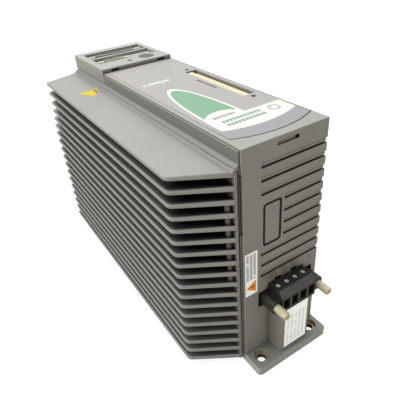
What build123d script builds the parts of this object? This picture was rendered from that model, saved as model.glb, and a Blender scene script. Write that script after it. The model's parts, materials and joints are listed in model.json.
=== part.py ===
from build123d import *
import os

os.makedirs("parts", exist_ok=True)

# ---------------------------------------------------------------------------
# Driving dimensions, in millimetres.
# The drive lies on its mounting face: X crosses the body and the fins point to
# -X, Y runs along the body from the power end to the motor end, and Z rises
# from the mounting face to the front panel. The origin is the centre of the
# four mounting holes, on the mounting face.
# ---------------------------------------------------------------------------
BODY_W = 66.0
BODY_L = 262.0
BODY_H = 175.6
WALL = 2.5
SIDE = BODY_W / 2
END = BODY_L / 2
INNER_SIDE = SIDE - WALL
INNER_END = END - WALL
INNER_TOP = BODY_H - WALL

PLATE_T = 7.0
PLATE_CORNER_R = 3.0
PLATE_EDGE = 0.6
FLANGE_REACH = 16.4
MOUNT_X = 23.8
MOUNT_Y = 138.0
MOUNT_R = 3.3
MOUNT_SEAT_R = 5.5
MOUNT_SEAT_DEPTH = 3.0
CORNER_R = 0.4
OPEN_CORNER_R = 1.2

FIN_COUNT = 18
FIN_PITCH = 9.11
FIN_TOP_Z = 161.2
FIN_ROOT_X = -36.6
FIN_TIP_X = -69.1
FIN_NEAR_ROOT_Y = -129.4
FIN_NEAR_TIP_Y = -108.9
FIN_ROOT_T = 4.0
FIN_TIP_T = 3.0
FIN_CORNER_R = 5.0
FIN_EDGE_R = 1.1
# The far ends step out from the upper fins to the lower ones.
SHORT_FINS = 3
FAR_SHORT_Y = 120.5
FAR_STEP_Y = 4.7
FAR_LONG_Y = 138.0
FAR_ROOT_Y = 130.0
FAR_CORNER_R = 3.0

SINK_INNER_X = -27.0
SINK_INNER_END = 128.2
SINK_OUTER_X = -33.1
SINK_END = 129.4
SINK_TOP = 172.1
WALL_X = -33.8
RIM_Z = 174.6
LEDGE_Z = (164.6, 166.4)
SLOT_Z = (118.0, 160.0)
SLOT_CUT = 0.5
NEAR_BOSS = (-38.2, -123.6)
NEAR_BOSS_R = 2.1
FAR_BOSS = (-63.5, 132.0)
FAR_BOSS_R = 2.2

# Flat screws from below: shank, head and the height of the tip.
COVER_SCREW_R = 1.9
COVER_HEAD_R = 4.0
COVER_HEAD_H = 2.3
COVER_TIP_Z = 23.0
COVER_BOSS_R = 5.0
SINK_SCREW_R = 1.45
SINK_HEAD_R = 2.85
SINK_HEAD_H = 1.7
SINK_TIP_Z = 19.0
SINK_SCREW_X = -29.5
HEAD_SINK = 0.2
SCREW_ROOM = 0.25
THREAD_ROOM = 0.05

HEAD_Y = 59.6
HEAD_H = 3.4
HEAD_TOP = BODY_H + HEAD_H
POCKET_D = 2.4
POCKET_FLOOR = HEAD_TOP - POCKET_D
COMMAND_POCKET = ((-28.0, 28.5), (101.5, 121.0))
SERIAL_POCKET = ((-28.0, 28.0), (79.5, 98.0))
DISPLAY_WINDOW = ((-8.0, 22.0), (64.5, 79.0))
NOTCH_XS = (-25.6, 19.0)
NOTCH_W = 7.2
NOTCH_D = 3.0
NOTCH_Z = (BODY_H + 0.5, BODY_H + 2.2)

OVERLAY_T = 0.8
OVERLAY_X = (-30.1, 31.9)
OVERLAY_ARC_Y = (-117.0, -124.4)
OVERLAY_LEFT_GAP = 0.5
OVERLAY_RIGHT_GAP = 0.06
OVERLAY_ARC_GAP = 1.1

GROOVE_COUNT = 10
GROOVE_PITCH = 9.2
GROOVE_TOP_Z = 159.6
GROOVE_WRAP = 32.0
GROOVE_H = 3.2
GROOVE_DEPTH = 0.7
GROOVE_START_X = -19.0
PORT_GROOVES = range(3, 7)
PORT_GROOVE_START_X = -0.5
SLIT_DEPTH = 1.5
SLIT_DROP = 0.5
SLIT_RISE = 0.6
SLIT_END_X = 28.0
LATCH_X = (-7.6, 9.0)
LATCH_HOLE_X = 6.6
LATCH_DEPTH = 0.9
LATCH_Z = (169.9, 172.5)

PORT_X = -10.0
PORT_Z = 118.2
PORT_W = 15.0
PORT_H = 32.6
PORT_R = 2.6
SEAL_W = 1.8
SEAL_R = 1.2
PORT_LIP = 1.5

PLUG_X = 3.65
PITCH = 7.62
POLES = 4
PLUG_HALF = 15.4
PLUG_Z = (49.7, 66.9)
PLUG_FRONT = -145.1
PLUG_BACK = -119.6
EAR_CENTRE = 4.4
EAR_X = 19.2
EAR_HALF = 23.2
EAR_Z = (49.9, 61.1)
EAR_FRONT = -142.8
SCREW_Z = 55.5
CLAMP_Y = -135.84
PIN_Z = 57.2

OPEN_X = (-20.9, 28.2)
OPEN_Z = (49.4, 63.0)
TALL_OPEN_HALF = 16.0
TALL_OPEN_TOP = 67.5
KEY_XS = (-6.6, 8.2)
KEY_W = 5.4
KEY_TOP = 69.7
TEST_HOLE = (26.0, 71.5)
TEST_HOLE_R = 0.8
BLOCK_X = (-12.0, 17.0)
BLOCK_FRONT = -144.2
BLOCK_CORNER_R = 3.6

# D-shaped connectors: shroud width, flange width and jackscrew spread.
COMMAND_SIZE = (38.38, 53.04, 47.04)
SERIAL_SIZE = (16.33, 30.81, 24.99)
COMMAND_XY = (0.25, 111.25)
SERIAL_XY = (-10.5, 88.75)
FEEDBACK_Z = 95.0
FLANGE_H = 12.55
FLANGE_T = 0.8
FLANGE_Z = 171.9
FLANGE_ROOM = 0.7
SHROUD_H = 7.9
SHROUD_RISE = 5.9
SHROUD_ROOM = 0.8
JACK_ROOM_R = 3.3

DISPLAY_XY = (14.5, 72.0)
DISPLAY_R = 7.0
LENS_Z = (177.4, 178.8)
RESET_XY = (-2.5, 70.0)
RESET_R = 2.5
RESET_TOP = 178.5
SIGNAL_X = (-17.6, -2.4)
SIGNAL_Z = (106.0, 150.0)

SLOT_X = (19.0, 29.0)
SLOT_Y = (-66.5, 11.0)
INSERT_X = 23.6
INSERT_Y = (-71.6, 15.9)
INSERT_R = 2.3
INSERT_Z = (166.0, 172.0)
INSERT_HOLE_R = 1.9
VENT_XY = (15.0, -26.5)
VENT_L = 27.0
VENT_W = 1.7

POWER_BOARD_X = (-9.0, -7.4)
CONTROL_BOARD_Z = (160.0, 161.6)
BOARD_HOLE_R = 1.6
STUD_R = 1.45
STUD_END_X = -32.9
POST_R = 3.0
POST_HOLE_R = 1.35
BOARD_SCREW_R = 1.3
BOARD_SCREW_HEAD_R = 2.8
BOARD_SCREW_HEAD_H = 2.0
FIT = 0.08

pole_xs = [PLUG_X + PITCH * (n - (POLES - 1) / 2) for n in range(POLES)]
ear_xs = [EAR_CENTRE - EAR_X, EAR_CENTRE + EAR_X]
boss_points = [(-21.5, -124), (-21.5, 124), (25.5, -124), (25.5, 124)]
sink_screw_points = [(SINK_SCREW_X, y) for y in (-90, 0, 90)]
standoff_points = [(y, z) for y in (-96, 0, 96) for z in (22, 148)]
post_points = [(-19, -62), (10, -62), (-19, 60), (25, 60)]
end_walls = ((-END, -INNER_END), (INNER_END, END))


def block(x, y, z, mode=Mode.ADD):
    """A box between two limits on each axis."""
    centre = ((x[0] + x[1]) / 2, (y[0] + y[1]) / 2, (z[0] + z[1]) / 2)
    with Locations(centre):
        Box(x[1] - x[0], y[1] - y[0], z[1] - z[0], mode=mode)


def rod_z(point, radius, z, mode=Mode.ADD):
    """A cylinder along Z between two heights."""
    with Locations((point[0], point[1], (z[0] + z[1]) / 2)):
        Cylinder(radius, z[1] - z[0], mode=mode)


def rod_y(point, radius, y, mode=Mode.ADD):
    """A cylinder along Y; point is its X and Z."""
    with Locations((point[0], (y[0] + y[1]) / 2, point[1])):
        Cylinder(radius, y[1] - y[0], rotation=(90, 0, 0), mode=mode)


def rod_x(point, radius, x, mode=Mode.ADD):
    """A cylinder along X; point is its Y and Z."""
    with Locations(((x[0] + x[1]) / 2, point[0], point[1])):
        Cylinder(radius, x[1] - x[0], rotation=(0, 90, 0), mode=mode)


def window(centre, half_x, half_y, z):
    """A rectangular opening about a point, seen from above."""
    x, y = centre
    block((x - half_x, x + half_x), (y - half_y, y + half_y), z, mode=Mode.SUBTRACT)


def screw_hole(point, shank_r, head_r, head_h):
    """A hole through the base plate, countersunk on the mounting face."""
    depth = head_h + HEAD_SINK + 0.1
    rod_z(point, shank_r + SCREW_ROOM, (0, PLATE_T), mode=Mode.SUBTRACT)
    with Locations((*point, depth / 2)):
        Cone(head_r + SCREW_ROOM, shank_r + SCREW_ROOM, depth, mode=Mode.SUBTRACT)


def flat_screws(points, shank_r, head_r, head_h, tip_z):
    """Countersunk screws with hexagonal sockets, driven in from the mounting face."""
    head_middle = HEAD_SINK + head_h / 2
    with BuildPart() as screws:
        for point in points:
            rod_z(point, shank_r, (head_middle, tip_z))
            with Locations((*point, head_middle)):
                Cone(head_r, shank_r, head_h)
        with BuildSketch(Plane.XY.offset(HEAD_SINK)):
            with Locations(*points):
                RegularPolygon(0.3 * head_r, 6)
        extrude(amount=0.7 * head_h, mode=Mode.SUBTRACT)
    return screws


# ---- Base plate: the mounting flanges at both ends are its overhangs ----
with BuildPart() as base_plate:
    block((-SIDE, SIDE), (-END - FLANGE_REACH, END + FLANGE_REACH), (0, PLATE_T))
    fillet(base_plate.edges().filter_by(Axis.Z), PLATE_CORNER_R)
    chamfer(base_plate.faces().sort_by(Axis.Z)[-1].edges(), PLATE_EDGE)
    with Locations((0, 0, PLATE_T)):
        with GridLocations(2 * MOUNT_X, 2 * MOUNT_Y, 2, 2):
            CounterBoreHole(MOUNT_R, MOUNT_SEAT_R, MOUNT_SEAT_DEPTH, PLATE_T)
    for point in boss_points:
        screw_hole(point, COVER_SCREW_R, COVER_HEAD_R, COVER_HEAD_H)
    for point in sink_screw_points:
        screw_hole(point, SINK_SCREW_R, SINK_HEAD_R, SINK_HEAD_H)
base_plate.part.label = "base_plate"
export_step(base_plate.part, "parts/base_plate.step")


# ---- One heatsink fin: thick at its root, thin at its tip, raked ends ----
def heatsink_fin(far_tip_y):
    """A fin about its own middle plane, with its near end raked back towards the tip."""
    root = FIN_ROOT_X + 1
    far_root_y = max(FAR_ROOT_Y, far_tip_y)
    with BuildPart() as fin:
        with BuildSketch(Plane.XY.offset(-FIN_ROOT_T / 2)) as plan:
            with BuildLine():
                Polyline(
                    (root, FIN_NEAR_ROOT_Y),
                    (FIN_ROOT_X, FIN_NEAR_ROOT_Y),
                    (FIN_TIP_X, FIN_NEAR_TIP_Y),
                    (FIN_TIP_X, far_tip_y),
                    (FIN_ROOT_X, far_root_y),
                    (root, far_root_y),
                    close=True,
                )
            make_face()
            for tip, radius in ((0, FIN_CORNER_R), (-1, FAR_CORNER_R)):
                fillet(plan.vertices().group_by(Axis.X)[0].sort_by(Axis.Y)[tip], radius)
        extrude(amount=FIN_ROOT_T)
        with BuildSketch(Plane.XZ) as section:
            with BuildLine():
                Polyline(
                    (root, -FIN_ROOT_T / 2),
                    (FIN_TIP_X, -FIN_TIP_T / 2),
                    (FIN_TIP_X, FIN_TIP_T / 2),
                    (root, FIN_ROOT_T / 2),
                    close=True,
                )
            make_face()
        extrude(amount=FAR_LONG_Y + 1, both=True, mode=Mode.INTERSECT)
        rims = fin.edges().filter_by(lambda e: e.center().X < FIN_ROOT_X)
        fillet(rims.filter_by(lambda e: abs(e.center().Z) > FIN_TIP_T / 2 - 0.3), FIN_EDGE_R)
    return fin


# ---- Heatsink: a cast wall that closes the cover's open side ----
fin_zs = [FIN_TOP_Z - FIN_PITCH * number for number in range(FIN_COUNT)]
far_tips = [
    min(FAR_LONG_Y, FAR_SHORT_Y + FAR_STEP_Y * max(0, number + 1 - SHORT_FINS))
    for number in range(FIN_COUNT)
]
first_long = far_tips.index(FAR_LONG_Y)
SINK_FOOT_Z = fin_zs[-1] - FIN_ROOT_T / 2
SINK_UPPER_X = -30.0
COVE_RUN = 1.9
with BuildPart() as heatsink:
    block((FIN_ROOT_X, SINK_OUTER_X), (-SINK_END, SINK_END), (SINK_FOOT_Z, LEDGE_Z[0]))
    far_wall_z = (SINK_FOOT_Z, fin_zs[first_long])
    block((FIN_ROOT_X, SINK_OUTER_X), (SINK_END, FAR_LONG_Y), far_wall_z)
    block((SINK_OUTER_X, SINK_INNER_X), (-SINK_INNER_END, SINK_INNER_END), (PLATE_T, LEDGE_Z[1]))
    block((SINK_OUTER_X, SINK_UPPER_X), (-SINK_INNER_END, SINK_INNER_END), (LEDGE_Z[1], SINK_TOP))
    # The upper wall stands beside the cover; it is low under the control head.
    block((WALL_X, SINK_OUTER_X), (-SINK_END, HEAD_Y), (LEDGE_Z[0], RIM_Z))
    rim = heatsink.edges().filter_by(Axis.Y).group_by(Axis.Z)[-1].sort_by(Axis.X)[0]
    chamfer(rim, 0.3)
    block((WALL_X, SINK_OUTER_X), (HEAD_Y, SINK_END), (LEDGE_Z[0], LEDGE_Z[1]))
    # A ledge and a coved root lead from the wall down to the top fin.
    with BuildSketch(Plane.XZ) as ledge:
        with BuildLine():
            Polyline(
                (FIN_ROOT_X - COVE_RUN, FIN_TOP_Z + FIN_ROOT_T / 2 - 0.4),
                (FIN_ROOT_X, LEDGE_Z[0] - 0.3),
                (FIN_ROOT_X + 0.5, LEDGE_Z[0] - 0.6),
                (FIN_ROOT_X + 0.5, LEDGE_Z[0] + 0.3),
                (WALL_X, LEDGE_Z[1]),
                (SINK_OUTER_X, LEDGE_Z[1]),
                (SINK_OUTER_X, FIN_TOP_Z),
                (FIN_ROOT_X - COVE_RUN, FIN_TOP_Z),
                close=True,
            )
        make_face()
    extrude(amount=SINK_END, both=True)
    for z, far_tip_y in zip(fin_zs, far_tips):
        with Locations((0, 0, z)):
            add(heatsink_fin(far_tip_y).part)
    # Screw bosses cross seven of the gaps near one end, and the lower gaps at the other.
    rod_z(NEAR_BOSS, NEAR_BOSS_R, (fin_zs[9], fin_zs[2]))
    rod_z(FAR_BOSS, FAR_BOSS_R, (fin_zs[-1], fin_zs[first_long - 1]))
    # A groove down each end of the wall, and a slot beside the cover's corner.
    for y in ((-SINK_END, -SINK_END + 4), (SINK_END - 4, SINK_END)):
        block((-35.0, WALL_X), y, (PLATE_T, LEDGE_Z[0] - 1.6), mode=Mode.SUBTRACT)
        block((WALL_X, SINK_OUTER_X), y, SLOT_Z, mode=Mode.SUBTRACT)
    for point in sink_screw_points:
        rod_z(point, SINK_SCREW_R + THREAD_ROOM, (PLATE_T, SINK_TIP_Z + 1), mode=Mode.SUBTRACT)
    for point in standoff_points:
        rod_x(point, STUD_R + THREAD_ROOM, (STUD_END_X - 0.1, SINK_INNER_X), mode=Mode.SUBTRACT)
heatsink.part.label = "heatsink"
export_step(heatsink.part, "parts/heatsink.step")

# ---- Cover: a moulded shell, open below and on the heatsink side ----
overlay_sagitta = OVERLAY_ARC_Y[0] - OVERLAY_ARC_Y[1]
with BuildPart() as cover:
    block((-SIDE, SIDE), (-END, END), (PLATE_T, BODY_H))
    corners = cover.edges().filter_by(Axis.Z).group_by(Axis.X)
    fillet(corners[-1], CORNER_R)
    fillet(corners[0], OPEN_CORNER_R)
    fillet(cover.faces().sort_by(Axis.Z)[-1].edges(), CORNER_R - 0.1)
    # Terminal block foot, below the power plug.
    with BuildSketch(Plane.XY.offset(PLATE_T)) as foot:
        with Locations((sum(BLOCK_X) / 2, (BLOCK_FRONT - END + 1) / 2)):
            Rectangle(BLOCK_X[1] - BLOCK_X[0], -END + 1 - BLOCK_FRONT)
        fillet(foot.vertices().group_by(Axis.Y)[0], BLOCK_CORNER_R)
    extrude(amount=OPEN_Z[0] - PLATE_T)
    block((-SIDE, INNER_SIDE), (-INNER_END, INNER_END), (PLATE_T, INNER_TOP), mode=Mode.SUBTRACT)
    hollow_x = (BLOCK_X[0] + WALL, BLOCK_X[1] - WALL)
    block(hollow_x, (BLOCK_FRONT + WALL, -INNER_END), (PLATE_T, OPEN_Z[0] - WALL), mode=Mode.SUBTRACT)
    for point in boss_points:
        rod_z(point, COVER_BOSS_R, (PLATE_T, COVER_TIP_Z + 7))
        rod_z(point, COVER_SCREW_R + THREAD_ROOM, (PLATE_T, COVER_TIP_Z + 1), mode=Mode.SUBTRACT)
    post_floor = CONTROL_BOARD_Z[1]
    for point in post_points:
        rod_z(point, POST_R, (post_floor, INNER_TOP))
        rod_z(point, POST_HOLE_R, (post_floor, post_floor + 6.4), mode=Mode.SUBTRACT)
    insert_floor = INSERT_Z[0] - 1
    for y in INSERT_Y:
        rod_z((INSERT_X, y), INSERT_R + 1.5, (insert_floor, INNER_TOP))
        rod_z((INSERT_X, y), INSERT_R, INSERT_Z, mode=Mode.SUBTRACT)
        rod_z((INSERT_X, y), INSERT_HOLE_R, (insert_floor, BODY_H), mode=Mode.SUBTRACT)
    # Lapped grooves with a vent slit under each, at both ends.
    for number in range(GROOVE_COUNT):
        z = GROOVE_TOP_Z - GROOVE_PITCH * number
        start = PORT_GROOVE_START_X if number in PORT_GROOVES else GROOVE_START_X
        lap = (z, z + GROOVE_H)
        slit = (z - SLIT_DROP, z + SLIT_RISE)
        for end in (-1, 1):
            wrap = sorted((end * END, end * (END - GROOVE_WRAP)))
            through = sorted((end * END, end * INNER_END))
            for depth, height in ((GROOVE_DEPTH, lap), (SLIT_DEPTH, slit)):
                skin = sorted((end * END, end * (END - depth)))
                block((start, SIDE), skin, height, mode=Mode.SUBTRACT)
                block((SIDE - depth, SIDE), wrap, height, mode=Mode.SUBTRACT)
            block((start + 1, SLIT_END_X), through, slit, mode=Mode.SUBTRACT)
    # A slot beside each open corner, facing the one in the heatsink.
    for y in end_walls:
        block((-SIDE, -SIDE + SLOT_CUT), y, SLOT_Z, mode=Mode.SUBTRACT)
    # Latch slot under the front panel's edge, with a hole through at one end.
    block(LATCH_X, (-END, -END + LATCH_DEPTH), LATCH_Z, mode=Mode.SUBTRACT)
    block((LATCH_HOLE_X, LATCH_X[1]), end_walls[0], LATCH_Z, mode=Mode.SUBTRACT)
    # Blanked port beside the grooves.
    with BuildSketch(Plane.XZ.offset(INNER_END)) as port:
        with Locations((PORT_X, PORT_Z)):
            RectangleRounded(PORT_W, PORT_H, PORT_R)
    extrude(amount=WALL, mode=Mode.SUBTRACT)
    # Terminal openings: wide for the plug's ears, taller for its body.
    tall_x = (PLUG_X - TALL_OPEN_HALF, PLUG_X + TALL_OPEN_HALF)
    for y in end_walls:
        block(OPEN_X, y, OPEN_Z, mode=Mode.SUBTRACT)
        block(tall_x, y, (OPEN_Z[0], TALL_OPEN_TOP), mode=Mode.SUBTRACT)
        for x in KEY_XS:
            block((x, x + KEY_W), y, (TALL_OPEN_TOP, KEY_TOP), mode=Mode.SUBTRACT)
    rod_y(TEST_HOLE, TEST_HOLE_R, end_walls[0], mode=Mode.SUBTRACT)
    # Far-end openings for the feedback and signal connectors.
    feedback_half = SERIAL_SIZE[1] / 2 + 0.2
    feedback_z = (FEEDBACK_Z - FLANGE_H / 2 - FLANGE_ROOM, FEEDBACK_Z + FLANGE_H / 2 + FLANGE_ROOM)
    block((PLUG_X - feedback_half, PLUG_X + feedback_half), end_walls[1], feedback_z, mode=Mode.SUBTRACT)
    block(SIGNAL_X, end_walls[1], SIGNAL_Z, mode=Mode.SUBTRACT)
    # Front panel: recess for the overlay, slot for the expansion header.
    with BuildSketch(Plane.XY.offset(BODY_H - OVERLAY_T)) as recess:
        with BuildLine():
            Polyline(
                (OVERLAY_X[0], OVERLAY_ARC_Y[0]),
                (OVERLAY_X[0], HEAD_Y),
                (OVERLAY_X[1], HEAD_Y),
                (OVERLAY_X[1], OVERLAY_ARC_Y[0]),
            )
            SagittaArc(
                (OVERLAY_X[0], OVERLAY_ARC_Y[0]),
                (OVERLAY_X[1], OVERLAY_ARC_Y[0]),
                -overlay_sagitta,
            )
        make_face()
    extrude(amount=OVERLAY_T, mode=Mode.SUBTRACT)
    block(SLOT_X, SLOT_Y, (INNER_TOP, BODY_H), mode=Mode.SUBTRACT)
    for centre, size in ((COMMAND_XY, COMMAND_SIZE), (SERIAL_XY, SERIAL_SIZE)):
        half = (size[1] / 2 + FLANGE_ROOM, FLANGE_H / 2 + FLANGE_ROOM)
        window(centre, *half, (INNER_TOP, BODY_H))
    block(*DISPLAY_WINDOW, (INNER_TOP, BODY_H), mode=Mode.SUBTRACT)
cover.part.label = "cover"
export_step(cover.part, "parts/cover.step")

# ---- Front overlay: a printed panel let into the cover ----
with BuildPart() as front_overlay:
    with BuildSketch(Plane.XY.offset(BODY_H - OVERLAY_T)):
        with BuildLine():
            left, right = OVERLAY_X[0] + OVERLAY_LEFT_GAP, OVERLAY_X[1] - OVERLAY_RIGHT_GAP
            near_y = OVERLAY_ARC_Y[0] + OVERLAY_ARC_GAP
            Polyline((left, near_y), (left, HEAD_Y), (right, HEAD_Y), (right, near_y))
            SagittaArc((left, near_y), (right, near_y), -overlay_sagitta)
        make_face()
    extrude(amount=OVERLAY_T - 0.1)
    block(SLOT_X, SLOT_Y, (INNER_TOP, BODY_H), mode=Mode.SUBTRACT)
    with BuildSketch(Plane.XY.offset(BODY_H - OVERLAY_T)):
        with Locations(VENT_XY):
            SlotOverall(VENT_L, VENT_W, rotation=90)
    extrude(amount=OVERLAY_T, mode=Mode.SUBTRACT)
    for y in INSERT_Y:
        rod_z((INSERT_X, y), INSERT_HOLE_R, (INNER_TOP, BODY_H), mode=Mode.SUBTRACT)
front_overlay.part.label = "front_overlay"
export_step(front_overlay.part, "parts/front_overlay.step")


# ---- Control bezel: the raised head around the signal connectors ----
def connector_opening(centre, size, z):
    """Openings for a connector's shroud and for its two jackscrews."""
    window(centre, size[0] / 2 + SHROUD_ROOM, SHROUD_H / 2 + SHROUD_ROOM, z)
    for side in (-1, 1):
        rod_z((centre[0] + side * size[2] / 2, centre[1]), JACK_ROOM_R, z, mode=Mode.SUBTRACT)


with BuildPart() as control_bezel:
    block((WALL_X, SIDE), (HEAD_Y, END), (BODY_H, HEAD_TOP))
    # A skirt on the heatsink side hides the seam below the head.
    block((WALL_X, SINK_OUTER_X), (HEAD_Y + 0.1, END), (LEDGE_Z[1] + 0.1, BODY_H))
    fillet(control_bezel.edges().filter_by(Axis.Z).group_by(Axis.X)[-1], CORNER_R)
    fillet(control_bezel.faces().sort_by(Axis.Z)[-1].edges(), CORNER_R - 0.1)
    for pocket in (COMMAND_POCKET, SERIAL_POCKET):
        block(*pocket, (POCKET_FLOOR, HEAD_TOP), mode=Mode.SUBTRACT)
    connector_opening(COMMAND_XY, COMMAND_SIZE, (BODY_H, POCKET_FLOOR))
    connector_opening(SERIAL_XY, SERIAL_SIZE, (BODY_H, POCKET_FLOOR))
    rod_z(DISPLAY_XY, DISPLAY_R - 1.0, (BODY_H, HEAD_TOP), mode=Mode.SUBTRACT)
    rod_z(DISPLAY_XY, DISPLAY_R + FIT, (LENS_Z[0], HEAD_TOP), mode=Mode.SUBTRACT)
    rod_z(RESET_XY, RESET_R + FIT, (BODY_H, HEAD_TOP), mode=Mode.SUBTRACT)
    with Locations((RESET_XY[0], RESET_XY[1], HEAD_TOP - 0.4)):
        Cone(RESET_R, RESET_R + 0.8, 0.8, mode=Mode.SUBTRACT)
    # Two release notches in the step down to the front panel.
    for x in NOTCH_XS:
        block((x, x + NOTCH_W), (HEAD_Y, HEAD_Y + NOTCH_D), NOTCH_Z, mode=Mode.SUBTRACT)
control_bezel.part.label = "control_bezel"
export_step(control_bezel.part, "parts/control_bezel.step")

# ---- Display lens, display and reset button ----
with BuildPart() as display_lens:
    rod_z(DISPLAY_XY, DISPLAY_R, LENS_Z)
    fillet(display_lens.faces().sort_by(Axis.Z)[-1].edges(), 0.3)
display_lens.part.label = "display_lens"
export_step(display_lens.part, "parts/display_lens.step")

with BuildPart() as status_display:
    x, y = DISPLAY_XY
    block((x - 3.6, x + 3.6), (y - 3.9, y + 3.9), (CONTROL_BOARD_Z[1], LENS_Z[0] - 0.2))
status_display.part.label = "status_display"
export_step(status_display.part, "parts/status_display.step")

# The button stops on a collar under the head; its stem ends 1 mm above the switch.
COLLAR_Z = (BODY_H - 1.6, BODY_H - 0.2)
SWITCH_TOP = 166.1
with BuildPart() as reset_button:
    rod_z(RESET_XY, RESET_R, (COLLAR_Z[0] + 1, RESET_TOP))
    fillet(reset_button.faces().sort_by(Axis.Z)[-1].edges(), 0.5)
    rod_z(RESET_XY, RESET_R + 0.9, COLLAR_Z)
    rod_z(RESET_XY, RESET_R - 1.0, (SWITCH_TOP + 1.8, COLLAR_Z[0] + 0.2))
reset_button.part.label = "reset_button"
export_step(reset_button.part, "parts/reset_button.step")

with BuildPart() as reset_switch:
    x, y = RESET_XY
    block((x - 3, x + 3), (y - 3, y + 3), (CONTROL_BOARD_Z[1], SWITCH_TOP))
    rod_z(RESET_XY, 1.4, (SWITCH_TOP, SWITCH_TOP + 0.8))
reset_switch.part.label = "reset_switch"
export_step(reset_switch.part, "parts/reset_switch.step")

# ---- Blanking plug and its seal ----
with BuildPart() as side_port_seal:
    with BuildSketch(Plane.XZ.offset(INNER_END)):
        with Locations((PORT_X, PORT_Z)):
            RectangleRounded(PORT_W, PORT_H, PORT_R)
            RectangleRounded(PORT_W - 2 * SEAL_W, PORT_H - 2 * SEAL_W, SEAL_R, mode=Mode.SUBTRACT)
    extrude(amount=WALL - 0.5)
side_port_seal.part.label = "side_port_seal"
export_step(side_port_seal.part, "parts/side_port_seal.step")

port_lip_plane = Plane.XZ.offset(INNER_END - PORT_LIP)
with BuildPart() as side_port_plug:
    with BuildSketch(port_lip_plane):
        with Locations((PORT_X, PORT_Z)):
            RectangleRounded(PORT_W - 2 * SEAL_W, PORT_H - 2 * SEAL_W, SEAL_R)
    extrude(amount=WALL + PORT_LIP)
    fillet(side_port_plug.faces().sort_by(Axis.Y)[0].edges(), 0.3)
    with BuildSketch(port_lip_plane):
        with Locations((PORT_X, PORT_Z)):
            RectangleRounded(PORT_W + 3, PORT_H + 3, PORT_R)
    extrude(amount=PORT_LIP)
side_port_plug.part.label = "side_port_plug"
export_step(side_port_plug.part, "parts/side_port_plug.step")

# ---- Labels ----
LABEL_T = 0.15
CAUTION_X = (-31.9, -22.0)
CAUTION_Z = (65.8, 102.2)
RATING_X = (-7.7, 13.2)
RATING_Z = (10.0, 48.9)
FIN_LABEL = ((12.3, 62.5), (31.0, 65.5), (20.5, 46.0))
with BuildPart() as caution_label:
    block(CAUTION_X, (-END - LABEL_T, -END), CAUTION_Z)
caution_label.part.label = "caution_label"
export_step(caution_label.part, "parts/caution_label.step")

with BuildPart() as rating_label:
    block(RATING_X, (BLOCK_FRONT - LABEL_T, BLOCK_FRONT), RATING_Z)
rating_label.part.label = "rating_label"
export_step(rating_label.part, "parts/rating_label.step")

# The top fin's face falls away by half a millimetre from root to tip.
fin_slope = (FIN_ROOT_T - FIN_TIP_T) / 2 / (FIN_ROOT_X + 1 - FIN_TIP_X)
fin_face = Plane(
    origin=(FIN_TIP_X, 0, FIN_TOP_Z + FIN_TIP_T / 2),
    x_dir=(1, 0, fin_slope),
    z_dir=(-fin_slope, 0, 1),
)
with BuildPart() as fin_label:
    with BuildSketch(fin_face):
        with BuildLine():
            Polyline(*FIN_LABEL, close=True)
        make_face()
    extrude(amount=LABEL_T)
    fillet(fin_label.edges().filter_by(Axis.Z, tolerance=2), 0.8)
fin_label.part.label = "fin_label"
export_step(fin_label.part, "parts/fin_label.step")

# ---- Expansion header and the inserts beside it ----
HEADER_BASE_Z = 168.0
HEADER_TOP_Z = 175.2
CONTACT_COUNT = 28
CONTACT_PITCH = 2.54
CONTACT_DEPTH = 3.2
with BuildPart() as expansion_header:
    left, right = SLOT_X[0] + 0.4, SLOT_X[1] - 0.4
    along = (SLOT_Y[0] + 0.4, SLOT_Y[1] - 3.5)
    block((left, right), along, (CONTROL_BOARD_Z[1], HEADER_BASE_Z))
    block((left, left + 4.2), along, (HEADER_BASE_Z, HEADER_TOP_Z))
    block((right - 0.9, right), along, (HEADER_BASE_Z, HEADER_TOP_Z - 2.2))
    for column in range(CONTACT_COUNT):
        for row_x in (left + 1.2, left + 3.1):
            contact = (row_x, along[0] + 2.5 + CONTACT_PITCH * column)
            window(contact, 0.45, 0.6, (HEADER_TOP_Z - CONTACT_DEPTH, HEADER_TOP_Z))
expansion_header.part.label = "expansion_header"
export_step(expansion_header.part, "parts/expansion_header.step")

with BuildPart() as module_inserts:
    for y in INSERT_Y:
        rod_z((INSERT_X, y), INSERT_R, INSERT_Z)
        rod_z((INSERT_X, y), 1.25, INSERT_Z, mode=Mode.SUBTRACT)
module_inserts.part.label = "module_inserts"
export_step(module_inserts.part, "parts/module_inserts.step")


# ---- D-shaped signal connectors ----
JACK_SHANK_R = 1.45
JACK_HEAD_R = 2.5
JACK_HEAD_H = 5.3


def d_outline(width, height):
    """The keystone outline of a D-shaped shroud, its wide side towards +Y."""
    narrow = width / 2 - height * 0.176
    with BuildLine() as outline:
        Polyline(
            (-width / 2, height / 2),
            (width / 2, height / 2),
            (narrow, -height / 2),
            (-narrow, -height / 2),
            close=True,
        )
    return outline


def connector_shell(plane, size):
    """A flange with a thin D-shaped shroud standing on it."""
    shroud_w, flange_w, spread = size
    with BuildPart() as shell:
        with BuildSketch(plane) as flange:
            Rectangle(flange_w, FLANGE_H)
            fillet(flange.vertices(), 1.5)
        extrude(amount=FLANGE_T)
        with BuildSketch(plane) as outer:
            add(d_outline(shroud_w, SHROUD_H).edges())
            make_face()
            fillet(outer.vertices(), 1.6)
        extrude(amount=SHROUD_RISE + FLANGE_T)
        with BuildSketch(plane) as inner:
            add(d_outline(shroud_w - 1.0, SHROUD_H - 1.0).edges())
            make_face()
            fillet(inner.vertices(), 1.2)
        extrude(amount=SHROUD_RISE + FLANGE_T, mode=Mode.SUBTRACT)
        with BuildSketch(plane):
            with Locations((-spread / 2, 0), (spread / 2, 0)):
                Circle(JACK_SHANK_R + 0.1)
        extrude(amount=FLANGE_T, mode=Mode.SUBTRACT)
    return shell


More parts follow.
